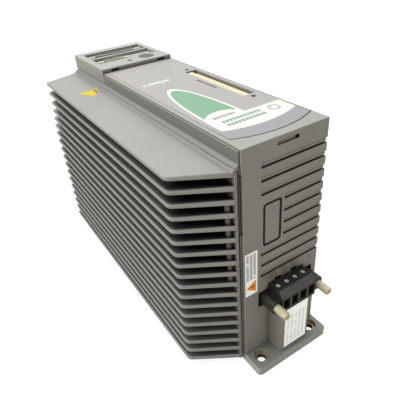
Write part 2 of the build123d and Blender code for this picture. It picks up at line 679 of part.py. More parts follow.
def connector_insert(plane, shroud_w, base_w, depth, rows):
    """A moulded insert; rows is (contact count, row height) for each row."""
    with BuildPart() as insert:
        with BuildSketch(plane) as nose:
            add(d_outline(shroud_w - 1.2, SHROUD_H - 1.2).edges())
            make_face()
            fillet(nose.vertices(), 1.1)
        extrude(amount=SHROUD_RISE + 0.2)
        with BuildSketch(plane):
            Rectangle(base_w, SHROUD_H + 1)
        extrude(amount=-depth)
        for count, height in rows:
            step = (shroud_w - 5.0) / count
            with BuildSketch(plane.offset(SHROUD_RISE + 0.2)):
                with Locations((0, height)):
                    with GridLocations(step, 1, count, 1):
                        Circle(min(0.55, step * 0.3))
            extrude(amount=-3, mode=Mode.SUBTRACT)
    return insert


command_plane = Plane(origin=(*COMMAND_XY, FLANGE_Z))
serial_plane = Plane(origin=(*SERIAL_XY, FLANGE_Z))
feedback_origin = (PLUG_X, INNER_END - 1.2, FEEDBACK_Z)
feedback_plane = Plane(origin=feedback_origin, x_dir=(-1, 0, 0), z_dir=(0, 1, 0))
insert_depth = FLANGE_Z - CONTROL_BOARD_Z[1]
serial_w = SERIAL_SIZE[0]

command_shell = connector_shell(command_plane, COMMAND_SIZE)
command_shell.part.label = "command_shell"
export_step(command_shell.part, "parts/command_shell.step")

command_rows = ((15, 2.0), (15, 0.0), (14, -2.0))
command_insert = connector_insert(command_plane, COMMAND_SIZE[0], 40.0, insert_depth, command_rows)
command_insert.part.label = "command_insert"
export_step(command_insert.part, "parts/command_insert.step")

serial_shell = connector_shell(serial_plane, SERIAL_SIZE)
serial_shell.part.label = "serial_shell"
export_step(serial_shell.part, "parts/serial_shell.step")

serial_rows = ((5, 1.4), (4, -1.4))
serial_insert = connector_insert(serial_plane, serial_w, 18.0, insert_depth, serial_rows)
serial_insert.part.label = "serial_insert"
export_step(serial_insert.part, "parts/serial_insert.step")

feedback_shell = connector_shell(feedback_plane, SERIAL_SIZE)
feedback_shell.part.label = "feedback_shell"
export_step(feedback_shell.part, "parts/feedback_shell.step")

feedback_rows = ((5, 2.0), (5, 0.0), (5, -2.0))
feedback_insert = connector_insert(feedback_plane, serial_w, 18.0, 8.0, feedback_rows)
feedback_insert.part.label = "feedback_insert"
export_step(feedback_insert.part, "parts/feedback_insert.step")

# Six jackscrews: a hexagonal head with a tapped top, on a threaded shank.
jack_places = [
    (plane, side * size[2] / 2)
    for plane, size in (
        (command_plane, COMMAND_SIZE),
        (serial_plane, SERIAL_SIZE),
        (feedback_plane, SERIAL_SIZE),
    )
    for side in (-1, 1)
]
with BuildPart() as jackscrews:
    for plane, along in jack_places:
        with BuildSketch(plane.offset(FLANGE_T)):
            with Locations((along, 0)):
                RegularPolygon(JACK_HEAD_R, 6, major_radius=False)
                Circle(1.3, mode=Mode.SUBTRACT)
        extrude(amount=JACK_HEAD_H)
        with BuildSketch(plane.offset(FLANGE_T + 1)):
            with Locations((along, 0)):
                Circle(JACK_SHANK_R)
        extrude(amount=-5.8)
jackscrews.part.label = "jackscrews"
export_step(jackscrews.part, "parts/jackscrews.step")

# ---- Power socket: the fixed half, behind the terminal opening ----
SOCKET_FRONT = -INNER_END + 0.1
SOCKET_BACK = -108.0
SOCKET_STEP = -120.0
EAR_NUT_BACK = -122.0
NUT_R = 2.5
THUMB_SHANK_R = 1.5
PIN_R = 1.0
PIN_FRONT = -127.0
with BuildPart() as power_socket:
    block((OPEN_X[0] + 0.5, OPEN_X[1] - 0.5), (SOCKET_FRONT, SOCKET_STEP), (48.0, 63.6))
    block((PLUG_X - 17, PLUG_X + 17), (SOCKET_FRONT, SOCKET_BACK), (47.6, 69.0))
    fillet(power_socket.edges().filter_by(Axis.Z), 0.6)
    cavity_x = (PLUG_X - PLUG_HALF - 0.15, PLUG_X + PLUG_HALF + 0.15)
    cavity_z = (PLUG_Z[0] - 0.15, PLUG_Z[1] + 0.15)
    block(cavity_x, (SOCKET_FRONT, PLUG_BACK + 0.3), cavity_z, mode=Mode.SUBTRACT)
    for x in pole_xs:
        rod_y((x, PIN_Z), PIN_R + 0.02, (PLUG_BACK, SOCKET_BACK), mode=Mode.SUBTRACT)
    for ear_x in ear_xs:
        ear = (ear_x, SCREW_Z)
        rod_y(ear, NUT_R, (SOCKET_FRONT, EAR_NUT_BACK), mode=Mode.SUBTRACT)
        rod_y(ear, THUMB_SHANK_R + 0.4, (SOCKET_FRONT, SOCKET_STEP), mode=Mode.SUBTRACT)
power_socket.part.label = "power_socket"
export_step(power_socket.part, "parts/power_socket.step")

with BuildPart() as power_pins:
    for x in pole_xs:
        rod_y((x, PIN_Z), PIN_R, (PIN_FRONT, SOCKET_BACK + 3))
    fillet(power_pins.faces().group_by(Axis.Y)[0].edges(), 0.6)
power_pins.part.label = "power_pins"
export_step(power_pins.part, "parts/power_pins.step")

with BuildPart() as socket_nuts:
    for ear_x in ear_xs:
        ear = (ear_x, SCREW_Z)
        rod_y(ear, NUT_R, (SOCKET_FRONT, EAR_NUT_BACK))
        rod_y(ear, THUMB_SHANK_R + FIT, (SOCKET_FRONT, EAR_NUT_BACK), mode=Mode.SUBTRACT)
socket_nuts.part.label = "socket_nuts"
export_step(socket_nuts.part, "parts/socket_nuts.step")

# ---- Power plug: the housing, with wire entries and rising-cage clamps ----
CAGE_Z = (51.0, 62.2)
CAGE_Y = (-139.5, -132.5)
CAGE_HALF = 2.6
CAGE_RISE = 1.5
ENTRY_HALF = 2.75
ENTRY_Z = (52.2, 60.8)
ENTRY_BACK = -132.2
CLAMP_HEAD_R = 1.7
CLAMP_SHANK_R = 1.2
CLAMP_SEAT_Z = 63.9
CLAMP_TOP_Z = 66.2
SLEEVE_Y = (-130.0, -120.5)
with BuildPart() as plug_housing:
    with BuildSketch(Plane.YZ.offset(PLUG_X - PLUG_HALF)) as profile:
        with BuildLine():
            Polyline(
                (PLUG_BACK, PLUG_Z[0]),
                (PLUG_FRONT, PLUG_Z[0]),
                (PLUG_FRONT, PLUG_Z[1] - 4.9),
                (PLUG_FRONT + 4.2, PLUG_Z[1]),
                (PLUG_BACK, PLUG_Z[1]),
                close=True,
            )
        make_face()
    extrude(amount=2 * PLUG_HALF)
    ear_plane = Plane.XZ.offset(-SOCKET_FRONT + 0.2)
    with BuildSketch(ear_plane) as ears:
        with Locations((EAR_CENTRE, sum(EAR_Z) / 2)):
            Rectangle(2 * EAR_HALF, EAR_Z[1] - EAR_Z[0])
        fillet(ears.vertices(), 3.6)
    extrude(amount=SOCKET_FRONT - 0.2 - EAR_FRONT)
    chamfer(plug_housing.faces().sort_by(Axis.Y)[0].edges(), 0.25)
    cage_room = (CAGE_Z[0] - 0.3, CAGE_Z[1] + CAGE_RISE + 0.2)
    for x in pole_xs:
        entry_x = (x - ENTRY_HALF, x + ENTRY_HALF)
        block(entry_x, (PLUG_FRONT, ENTRY_BACK), ENTRY_Z, mode=Mode.SUBTRACT)
        block(entry_x, (CAGE_Y[0] - 0.3, ENTRY_BACK), cage_room, mode=Mode.SUBTRACT)
        rod_z((x, CLAMP_Y), CLAMP_HEAD_R + 0.3, (CLAMP_SEAT_Z - 0.9, PLUG_Z[1]), mode=Mode.SUBTRACT)
        sleeve_room = (ENTRY_BACK - 0.2, SLEEVE_Y[1] + 0.2)
        block((x - 1.75, x + 1.75), sleeve_room, (PIN_Z, 60.2), mode=Mode.SUBTRACT)
        rod_y((x, PIN_Z), 2.0, (SLEEVE_Y[0] - 1.5, SLEEVE_Y[1] + 0.2), mode=Mode.SUBTRACT)
        rod_y((x, PIN_Z), 1.25, (SLEEVE_Y[1], PLUG_BACK), mode=Mode.SUBTRACT)
    for ear_x in ear_xs:
        ear = (ear_x, SCREW_Z)
        rod_y(ear, THUMB_SHANK_R + FIT, (EAR_FRONT, SOCKET_FRONT), mode=Mode.SUBTRACT)
plug_housing.part.label = "plug_housing"
export_step(plug_housing.part, "parts/plug_housing.step")

# Contact strips: a bar under each clamp, ending in a sleeve for the pin.
with BuildPart() as plug_contacts:
    for x in pole_xs:
        block((x - 1.6, x + 1.6), (CAGE_Y[0] + 1, SLEEVE_Y[1] - 0.5), (58.9, 60.0))
        rod_y((x, PIN_Z), 1.9, SLEEVE_Y)
        rod_y((x, PIN_Z), PIN_R + FIT, SLEEVE_Y, mode=Mode.SUBTRACT)
plug_contacts.part.label = "plug_contacts"
export_step(plug_contacts.part, "parts/plug_contacts.step")

# Four clamp screws and the cages that they lift.
for number, x in enumerate(pole_xs, start=1):
    with BuildPart() as clamp_screw:
        rod_z((x, CLAMP_Y), CLAMP_HEAD_R, (CLAMP_SEAT_Z, CLAMP_TOP_Z))
        chamfer(clamp_screw.faces().sort_by(Axis.Z)[-1].edges(), 0.25)
        window((x, CLAMP_Y), CLAMP_HEAD_R - 0.2, 0.3, (CLAMP_TOP_Z - 0.9, CLAMP_TOP_Z))
        rod_z((x, CLAMP_Y), CLAMP_SHANK_R, (60.1, CLAMP_SEAT_Z))
    clamp_screw.part.label = f"clamp_screw_{number}"
    export_step(clamp_screw.part, f"parts/clamp_screw_{number}.step")

    with BuildPart() as clamp_cage:
        block((x - CAGE_HALF, x + CAGE_HALF), CAGE_Y, CAGE_Z)
        bore = (CAGE_Z[0] + 1.0, CAGE_Z[1] - 1.8)
        block((x - CAGE_HALF + 0.6, x + CAGE_HALF - 0.6), CAGE_Y, bore, mode=Mode.SUBTRACT)
        rod_z((x, CLAMP_Y), CLAMP_SHANK_R + FIT, (bore[1], CAGE_Z[1]), mode=Mode.SUBTRACT)
    clamp_cage.part.label = f"clamp_cage_{number}"
    export_step(clamp_cage.part, f"parts/clamp_cage_{number}.step")

# Two thumbscrews: a finely knurled, slotted barrel on a plain shank.
BARREL_R = 2.9
BARREL_FRONT = -153.5
KNURL_COUNT = 24
KNURL_R = 0.16
for name, axis_x in zip(("left", "right"), ear_xs):
    with BuildPart() as thumbscrew:
        rod_y((axis_x, SCREW_Z), BARREL_R, (BARREL_FRONT, EAR_FRONT - 0.1))
        chamfer(thumbscrew.faces().sort_by(Axis.Y)[0].edges(), 0.5)
        with BuildSketch(Plane.XZ.offset(-EAR_FRONT + 1.4)):
            with Locations((axis_x, SCREW_Z)):
                with PolarLocations(BARREL_R, KNURL_COUNT):
                    Circle(KNURL_R)
        extrude(amount=-BARREL_FRONT + EAR_FRONT - 2.4, mode=Mode.SUBTRACT)
        slot_z = (SCREW_Z - 0.45, SCREW_Z + 0.45)
        slot_y = (BARREL_FRONT, BARREL_FRONT + 1.6)
        block((axis_x - BARREL_R, axis_x + BARREL_R), slot_y, slot_z, mode=Mode.SUBTRACT)
        rod_y((axis_x, SCREW_Z), THUMB_SHANK_R, (EAR_FRONT - 0.1, EAR_NUT_BACK))
    thumbscrew.part.label = f"thumbscrew_{name}"
    export_step(thumbscrew.part, f"parts/thumbscrew_{name}.step")

# ---- Motor end: a second socket, mirrored, and the signal header ----
with BuildPart() as motor_socket:
    mirror(power_socket.part, about=Plane.XZ)
motor_socket.part.label = "motor_socket"
export_step(motor_socket.part, "parts/motor_socket.step")

with BuildPart() as motor_pins:
    mirror(power_pins.part, about=Plane.XZ)
    mirror(socket_nuts.part, about=Plane.XZ)
motor_pins.part.label = "motor_pins"
export_step(motor_pins.part, "parts/motor_pins.step")

SIGNAL_BACK = 118.0
SIGNAL_PITCH = 3.5
with BuildPart() as signal_header:
    outer_x = (SIGNAL_X[0] + 0.4, SIGNAL_X[1] - 0.4)
    outer_z = (SIGNAL_Z[0] + 0.4, SIGNAL_Z[1] - 0.4)
    block(outer_x, (SIGNAL_BACK, INNER_END + 1.5), outer_z)
    inner_x = (outer_x[0] + 1.4, outer_x[1] - 1.4)
    inner_z = (outer_z[0] + 1.4, outer_z[1] - 1.4)
    block(inner_x, (SIGNAL_BACK + 2, INNER_END + 1.5), inner_z, mode=Mode.SUBTRACT)
    for row_x in (inner_x[0] + 3.0, inner_x[1] - 3.0):
        for number in range(11):
            at_z = inner_z[0] + 2.7 + SIGNAL_PITCH * number
            pin_y = (SIGNAL_BACK + 1, INNER_END - 1)
            block((row_x - 0.4, row_x + 0.4), pin_y, (at_z - 0.4, at_z + 0.4))
signal_header.part.label = "signal_header"
export_step(signal_header.part, "parts/signal_header.step")

# ---- Boards ----
with BuildPart() as power_board:
    block(POWER_BOARD_X, (-104, 104), (14, 157))
    for point in standoff_points:
        rod_x(point, BOARD_HOLE_R, POWER_BOARD_X, mode=Mode.SUBTRACT)
power_board.part.label = "power_board"
export_step(power_board.part, "parts/power_board.step")

with BuildPart() as control_board:
    block((-24, 29.5), (-78, 124), CONTROL_BOARD_Z)
    for point in post_points:
        rod_z(point, BOARD_HOLE_R, CONTROL_BOARD_Z, mode=Mode.SUBTRACT)
control_board.part.label = "control_board"
export_step(control_board.part, "parts/control_board.step")

BOARD_FACE = POWER_BOARD_X[1]
with BuildPart() as board_link:
    block((BOARD_FACE, BOARD_FACE + 5), (20, 58), (146, CONTROL_BOARD_Z[0]))
board_link.part.label = "board_link"
export_step(board_link.part, "parts/board_link.step")

with BuildPart() as processor:
    block((-12, 12), (-22, 2), (CONTROL_BOARD_Z[1] + 0.2, 164.6))
    chamfer(processor.faces().sort_by(Axis.Z)[-1].edges(), 0.4)
    block((-13.2, 13.2), (-20, 0), (CONTROL_BOARD_Z[1], CONTROL_BOARD_Z[1] + 0.3))
processor.part.label = "processor"
export_step(processor.part, "parts/processor.step")

# ---- Power electronics between the boards and the heatsink ----
SINK_PAD_X = SINK_INNER_X + 0.3
PAD_MARGIN = 2
MODULE_Y = (10, 80)
MODULE_Z = (52, 116)
RECTIFIER_Y = (-82, -50)
RECTIFIER_Z = (62, 94)
with BuildPart() as thermal_pads:
    for y, z in ((MODULE_Y, MODULE_Z), (RECTIFIER_Y, RECTIFIER_Z)):
        wide_y = (y[0] - PAD_MARGIN, y[1] + PAD_MARGIN)
        wide_z = (z[0] - PAD_MARGIN, z[1] + PAD_MARGIN)
        block((SINK_INNER_X, SINK_PAD_X), wide_y, wide_z)
thermal_pads.part.label = "thermal_pads"
export_step(thermal_pads.part, "parts/thermal_pads.step")


def power_package(y, z, top_x, corner_r, pin_ys, pin_zs, pin_half):
    """A moulded power package on the heatsink, with pins to the power board."""
    with BuildPart() as package:
        block((SINK_PAD_X, top_x), y, z)
        fillet(package.edges().filter_by(Axis.X), corner_r)
        for pin_y in pin_ys:
            for pin_z in pin_zs:
                across = (pin_y - pin_half[0], pin_y + pin_half[0])
                along = (pin_z - pin_half[1], pin_z + pin_half[1])
                block((top_x, POWER_BOARD_X[0]), across, along)
    return package


power_module = power_package(MODULE_Y, MODULE_Z, -14.0, 3.0, (14, 28, 62, 76), (58, 110), (1, 1))
power_module.part.label = "power_module"
export_step(power_module.part, "parts/power_module.step")

bridge_rectifier = power_package(RECTIFIER_Y, RECTIFIER_Z, -16.5, 2.0, (-77, -55), (67, 89), (2, 0.5))
bridge_rectifier.part.label = "bridge_rectifier"
export_step(bridge_rectifier.part, "parts/bridge_rectifier.step")

CAPACITOR_R = 15.0
with BuildPart() as bus_capacitors:
    for y in (-51, -17, 17, 51):
        rod_x((y, 44), CAPACITOR_R, (BOARD_FACE, 27.0))
    fillet(bus_capacitors.faces().group_by(Axis.X)[-1].edges(), 1.5)
bus_capacitors.part.label = "bus_capacitors"
export_step(bus_capacitors.part, "parts/bus_capacitors.step")

COIL_Y = (-3, 19)
CORE_X = (BOARD_FACE + 3, 18)
CORE_Z = (88, 120)
CORE_WINDOW = 6
with BuildPart() as transformer_core:
    block(CORE_X, (-10, 26), CORE_Z)
    for z in ((CORE_Z[0], CORE_Z[0] + CORE_WINDOW), (CORE_Z[1] - CORE_WINDOW, CORE_Z[1])):
        block(CORE_X, (COIL_Y[0] - 2, COIL_Y[1] + 2), z, mode=Mode.SUBTRACT)
transformer_core.part.label = "transformer_core"
export_step(transformer_core.part, "parts/transformer_core.step")

with BuildPart() as transformer_coil:
    coil_z = (CORE_Z[0] - 4, CORE_Z[1] + 4)
    block((BOARD_FACE, 16), COIL_Y, (coil_z[0], CORE_Z[0] + CORE_WINDOW))
    block((BOARD_FACE, 16), COIL_Y, (CORE_Z[1] - CORE_WINDOW, coil_z[1]))
    block((BOARD_FACE, CORE_X[0]), COIL_Y, coil_z)
transformer_coil.part.label = "transformer_coil"
export_step(transformer_coil.part, "parts/transformer_coil.step")

with BuildPart() as line_choke:
    with Locations((BOARD_FACE + 12.5, -78, 96)):
        Torus(14, 5.5, rotation=(0, 90, 0))
    block((BOARD_FACE, BOARD_FACE + 9), (-94, -62), (94, 98))
line_choke.part.label = "line_choke"
export_step(line_choke.part, "parts/line_choke.step")

with BuildPart() as inrush_relay:
    block((BOARD_FACE, 9.0), (-96, -68), (30, 46))
    fillet(inrush_relay.faces().sort_by(Axis.X)[-1].edges(), 0.8)
inrush_relay.part.label = "inrush_relay"
export_step(inrush_relay.part, "parts/inrush_relay.step")

with BuildPart() as current_sensors:
    for z in (84, 112):
        block((BOARD_FACE, 12.0), (70, 92), (z, z + 20))
        rod_x((81, z + 10), 4.0, (BOARD_FACE + 4, 12.0), mode=Mode.SUBTRACT)
current_sensors.part.label = "current_sensors"
export_step(current_sensors.part, "parts/current_sensors.step")

with BuildPart() as insulating_sheet:
    block((INNER_SIDE - 0.4, INNER_SIDE), (-106, 106), (12, 150))
insulating_sheet.part.label = "insulating_sheet"
export_step(insulating_sheet.part, "parts/insulating_sheet.step")

# ---- Fasteners ----
with BuildPart() as board_standoffs:
    for y, z in standoff_points:
        with BuildSketch(Plane.YZ.offset(SINK_INNER_X)):
            with Locations((y, z)):
                RegularPolygon(2.75, 6, major_radius=False)
        extrude(amount=POWER_BOARD_X[0] - SINK_INNER_X)
        tapped = (POWER_BOARD_X[0] - 9, POWER_BOARD_X[0])
        rod_x((y, z), BOARD_SCREW_R + THREAD_ROOM, tapped, mode=Mode.SUBTRACT)
        rod_x((y, z), STUD_R, (STUD_END_X, SINK_INNER_X))
board_standoffs.part.label = "board_standoffs"
export_step(board_standoffs.part, "parts/board_standoffs.step")

with BuildPart() as board_screws:
    for point in standoff_points:
        rod_x(point, BOARD_SCREW_HEAD_R, (BOARD_FACE, BOARD_FACE + BOARD_SCREW_HEAD_H))
        rod_x(point, BOARD_SCREW_R, (BOARD_FACE - 8, BOARD_FACE))
    under = CONTROL_BOARD_Z[0]
    for point in post_points:
        rod_z(point, BOARD_SCREW_HEAD_R, (under - BOARD_SCREW_HEAD_H, under))
        rod_z(point, BOARD_SCREW_R, (under, under + 7))
board_screws.part.label = "board_screws"
export_step(board_screws.part, "parts/board_screws.step")

cover_screws = flat_screws(boss_points, COVER_SCREW_R, COVER_HEAD_R, COVER_HEAD_H, COVER_TIP_Z)
cover_screws.part.label = "cover_screws"
export_step(cover_screws.part, "parts/cover_screws.step")

heatsink_screws = flat_screws(sink_screw_points, SINK_SCREW_R, SINK_HEAD_R, SINK_HEAD_H, SINK_TIP_Z)
heatsink_screws.part.label = "heatsink_screws"
export_step(heatsink_screws.part, "parts/heatsink_screws.step")
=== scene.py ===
import json
import math

import bpy
from mathutils import Matrix, Vector


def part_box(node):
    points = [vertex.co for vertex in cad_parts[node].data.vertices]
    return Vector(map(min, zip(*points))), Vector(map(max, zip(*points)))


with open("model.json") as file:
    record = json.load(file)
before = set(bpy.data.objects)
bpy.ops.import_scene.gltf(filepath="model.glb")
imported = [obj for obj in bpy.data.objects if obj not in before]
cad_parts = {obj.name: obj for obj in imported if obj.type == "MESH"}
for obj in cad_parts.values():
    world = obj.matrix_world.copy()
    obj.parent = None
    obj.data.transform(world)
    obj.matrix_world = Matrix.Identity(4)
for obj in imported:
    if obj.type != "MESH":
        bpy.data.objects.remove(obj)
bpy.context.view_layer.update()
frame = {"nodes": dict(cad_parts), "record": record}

NODES = frame["nodes"]
MM = 0.001


# ---------------------------------------------------------------------------
# Small helpers for node materials
# ---------------------------------------------------------------------------
class Value:
    """A number in a material's node tree, with ordinary arithmetic."""

    def __init__(self, tree, socket):
        self.tree = tree
        self.socket = socket

    def math(self, operation, *others):
        node = self.tree.nodes.new("ShaderNodeMath")
        node.operation = operation
        for entry, value in zip(node.inputs, (self, *others)):
            if isinstance(value, Value):
                self.tree.links.new(value.socket, entry)
            else:
                entry.default_value = value
        return Value(self.tree, node.outputs[0])

    def __add__(self, other):
        return self.math("ADD", other)

    def __sub__(self, other):
        return self.math("SUBTRACT", other)

    def __mul__(self, other):
        return self.math("MULTIPLY", other)

    def __truediv__(self, other):
        return self.math("DIVIDE", other)

    def __pow__(self, other):
        return self.math("POWER", other)

    def __abs__(self):
        return self.math("ABSOLUTE")

    def inverse(self):
        return self * -1.0 + 1.0

    def either(self, other):
        return self.math("MAXIMUM", other)

    def clamp(self):
        node = self.tree.nodes.new("ShaderNodeClamp")
        self.tree.links.new(self.socket, node.inputs[0])
        return Value(self.tree, node.outputs[0])

    def above(self, edge, soft=0.15):
        """1 where the number is over edge, with a soft step."""
        return ((self - edge) / soft + 0.5).clamp()

    def below(self, edge, soft=0.15):
        """1 where the number is under edge, with a soft step."""
        return ((self - edge) / -soft + 0.5).clamp()

    def between(self, low, high, soft=0.15):
        return self.above(low, soft) * self.below(high, soft)


class Look:
    """One procedural material. x, y and z are places in the part's frame, in millimetres."""

    def __init__(self, name):
        self.material = bpy.data.materials.new(name)
        self.material.use_nodes = True
        self.tree = self.material.node_tree
        self.surface = self.tree.nodes["Principled BSDF"]
        self.place = self.node("ShaderNodeTexCoord").outputs["Object"]
        split = self.node("ShaderNodeSeparateXYZ")
        self.link(self.place, split.inputs[0])
        self.x, self.y, self.z = (Value(self.tree, out) / MM for out in split.outputs)

    def node(self, kind):
        return self.tree.nodes.new(kind)

    def link(self, source, target):
        self.tree.links.new(source, target)

    def noise(self, size, detail=3.0, stretch=(1, 1, 1), shift=0.0):
        """Cloudy noise from 0 to 1, whose lumps are about size millimetres across."""
        move = self.node("ShaderNodeMapping")
        move.inputs["Scale"].default_value = stretch
        move.inputs["Location"].default_value = (shift, shift, shift)
        self.link(self.place, move.inputs["Vector"])
        cloud = self.node("ShaderNodeTexNoise")
        cloud.inputs["Scale"].default_value = 1.0 / (size * MM)
        cloud.inputs["Detail"].default_value = detail
        self.link(move.outputs[0], cloud.inputs["Vector"])
        return Value(self.tree, cloud.outputs["Fac"])

    def mix(self, amount, low, high):
        """The colour low where amount is 0, and high where it is 1."""
        node = self.node("ShaderNodeMix")
        node.data_type = "RGBA"
        self.feed(amount, node.inputs["Factor"])
        self.feed(low, node.inputs[6])
        self.feed(high, node.inputs[7])
        return node.outputs[2]

    def feed(self, value, entry):
        if isinstance(value, Value):
            self.link(value.socket, entry)
        elif isinstance(value, bpy.types.NodeSocket):
            self.link(value, entry)
        elif isinstance(value, tuple) and len(value) == 3:
            entry.default_value = (*value, 1.0)
        else:
            entry.default_value = value

    def rounded(self, radius):
        """A normal that rounds sharp edges by radius millimetres."""
        bevel = self.node("ShaderNodeBevel")
        bevel.samples = 6
        bevel.inputs["Radius"].default_value = radius * MM
        return bevel.outputs[0]

    def edges(self, radius):
        """1 along convex and concave edges, 0 on open faces."""
        face = self.node("ShaderNodeNewGeometry").outputs["Normal"]
        dot = self.node("ShaderNodeVectorMath")
        dot.operation = "DOT_PRODUCT"
        self.link(self.rounded(radius), dot.inputs[0])
        self.link(face, dot.inputs[1])
        return ((Value(self.tree, dot.outputs["Value"]) * -1.0 + 1.0) * 4.0).clamp()

    def facing(self, direction):
        """1 on faces that look along a direction, and less as they turn from it."""
        dot = self.node("ShaderNodeVectorMath")
        dot.operation = "DOT_PRODUCT"
        self.link(self.node("ShaderNodeNewGeometry").outputs["True Normal"], dot.inputs[0])
        dot.inputs[1].default_value = direction
        return Value(self.tree, dot.outputs["Value"])

    def shelter(self, reach):
        """1 in the open, falling towards 0 deep in corners and slots."""
        hood = self.node("ShaderNodeAmbientOcclusion")
        hood.samples = 8
        hood.inputs["Distance"].default_value = reach * MM
        return Value(self.tree, hood.outputs["AO"])

    def finish(self, colour, roughness, metallic=0.0, height=None, depth=0.05, edge=0.3, **extra):
        """Wires the surface; height is a 0 to 1 relief that is depth millimetres deep."""
        self.feed(colour, self.surface.inputs["Base Color"])
        self.feed(roughness, self.surface.inputs["Roughness"])
        self.feed(metallic, self.surface.inputs["Metallic"])
        normal = self.rounded(edge)
        if height is not None:
            bump = self.node("ShaderNodeBump")
            bump.inputs["Distance"].default_value = depth * MM
            self.link(height.socket, bump.inputs["Height"])
            self.link(normal, bump.inputs["Normal"])
            normal = bump.outputs[0]
        self.link(normal, self.surface.inputs["Normal"])
        for name, value in extra.items():
            self.feed(value, self.surface.inputs[name.replace("_", " ").title()])
        return self.material


# ---------------------------------------------------------------------------
# Colours, as linear light
# ---------------------------------------------------------------------------
CASE = (0.285, 0.282, 0.258)
CASE_LIGHT = (0.40, 0.395, 0.365)
CASE_DARK = (0.135, 0.13, 0.115)
CASTING = (0.232, 0.230, 0.216)
CASTING_LIGHT = (0.40, 0.395, 0.375)
CASTING_SHADE = (0.150, 0.156, 0.135)
GAP_SHADE = (0.012, 0.012, 0.010)
OVERLAY_GREY = (0.325, 0.314, 0.300)
OVERLAY_DIM = (0.295, 0.287, 0.275)
OVERLAY_BLUE = (0.250, 0.251, 0.258)
HEAD_GREY = (0.34, 0.35, 0.322)
WHITE = (0.64, 0.63, 0.585)
PAPER = (0.86, 0.88, 0.88)
GREEN = (0.148, 0.30, 0.188)
GREEN_PALE = (0.165, 0.325, 0.206)
GREEN_DEEP = (0.085, 0.215, 0.135)
ORANGE = (0.72, 0.25, 0.004)
YELLOW = (0.50, 0.405, 0.012)
YELLOW_DIM = (0.47, 0.38, 0.025)
INK = (0.05, 0.05, 0.05)
SHADOW_INK = (0.004, 0.004, 0.004)
DARK = (0.017, 0.0165, 0.015)
BLACK = (0.008, 0.008, 0.008)
CREAM = (0.66, 0.60, 0.38)
NICKEL = (0.78, 0.72, 0.52)
ZINC = (0.55, 0.56, 0.56)
BRASS = (0.62, 0.47, 0.20)
TAN = (0.36, 0.35, 0.245)
PLATE = (0.212, 0.219, 0.196)
RIM_LIGHT = (0.50, 0.505, 0.465)
HOLE_SHADE = (0.10, 0.092, 0.065)


# The laps on the case's ends: the highest lip, their spacing and the painted shadow under each lip.
LIP_TOP_Z = 162.8
LIP_PITCH = 9.2
LIP_COUNT = 10
LIP_SHADOW = 0.8
LIP_SHADE_COLOUR = (0.06, 0.057, 0.048)
LIP_START_X = -19.0
SHORT_LIP_START_X = -0.5
SHORT_LIPS_Z = (98.0, 137.0)


def lip_shadows(look):
    """A thin painted shadow line under each lip of the case's ends."""
    phase = ((look.z - LIP_TOP_Z) / LIP_PITCH).math("FRACT") * LIP_PITCH
    line = phase.above(LIP_PITCH - LIP_SHADOW, 0.15)
    line = line * look.z.between(LIP_TOP_Z - LIP_PITCH * (LIP_COUNT - 0.5), LIP_TOP_Z, 0.1)
    short = look.z.between(*SHORT_LIPS_Z, 0.5)
    line = line * (short * (SHORT_LIP_START_X - LIP_START_X) + LIP_START_X - look.x).below(0.0, 0.2)
    first = look.z.above(LIP_TOP_Z - LIP_PITCH / 2, 0.5)
    return line * abs(look.y).above(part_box("cover")[1].y / MM - 1.0, 0.2) * (first * 0.25 + 0.65) * (short * -0.5 + 1.0)


def case_plastic():
    """Moulded case: fine spark texture, faint smudges, painted shade in the grooves, pale edges."""
    look = Look("case_plastic")
    smudge = look.noise(28, detail=4).between(0.55, 0.75, 0.2)
    colour = look.mix(smudge * 0.12, CASE, CASE_DARK)
    # Scuffing above the power terminals.
    near = look.y.below(-130, 1.0) * look.x.between(-18, 16, 10) * look.z.between(68, 80, 6)
    scuff = near * look.noise(6, detail=6, shift=0.3).above(0.46, 0.25)
    colour = look.mix(scuff * 0.7, colour, (0.13, 0.10, 0.07))
    colour = look.mix(look.edges(0.5) * 0.35, colour, CASE_LIGHT)
    # Painted shadow under each lip.
    colour = look.mix(lip_shadows(look), colour, LIP_SHADE_COLOUR)
    # Painted shade on the floor of the groove around the printed panel.
    panel_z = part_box("front_overlay")[0].z / MM
    groove = look.z.between(panel_z - 0.2, panel_z + 0.5, 0.1) * abs(look.x).below(32.4, 0.1)
    groove = groove * look.y.between(-125.5, 60.0, 0.5)
    colour = look.mix(groove * 0.7, colour, (0.085, 0.080, 0.065))
    # The control head is paler than the rest, and its pockets stay light.
    head = look.z.above(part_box("cover")[1].z / MM + 0.2, 0.3)
    colour = look.mix(head, colour, look.mix(look.noise(16), HEAD_GREY, CASE))
    # The foot's side, below the power plug, lies in shade.
    foot_side = look.facing((-1.0, 0.0, 0.0)).above(0.6, 0.5) * look.y.below(-132.0, 0.5)
    colour = look.mix(foot_side * look.z.below(60.0, 2.0) * 0.45, colour, CASE_DARK)
    # Painted shade in tight corners, and painted darkness in the slits and openings.
    open_air = head * look.y.above(64.0, 0.5) * -0.75 + 1.0
    foot = look.z.below(44.0, 10.0) * look.x.above(-31.0, 0.5)
    open_air = open_air * (foot * -0.7 + 1.0)
    colour = look.mix(look.shelter(3.0).below(0.86, 0.22) * open_air * 0.72, colour, CASE_DARK)
    colour = look.mix(look.shelter(4.0).below(0.55, 0.5) * open_air, colour, SHADOW_INK)
    button = (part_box("reset_button")[0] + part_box("reset_button")[1]) / 2 / MM
    ring = (((look.x - button.x) ** 2 + (look.y - button.y) ** 2) ** 0.5).between(3.2, 4.0, 0.2)
    colour = look.mix(ring * head * look.z.above(178.8, 0.05) * 0.4, colour, WHITE)
    legend = marks(look, look.x, look.y - 124.0, 6.0, 1.8, 1.5, 0.8, 5.0)
    legend = legend * look.y.between(124.0, 125.8, 0.1) * look.x.between(-24, 27, 0.3)
    colour = look.mix(legend * head * look.z.above(178.8, 0.05) * 0.45, colour, WHITE)
    grain = look.noise(0.7, detail=2)
    rough = look.noise(6) * 0.12 + 0.46
    return look.finish(colour, rough, height=grain, depth=0.035, edge=0.35)


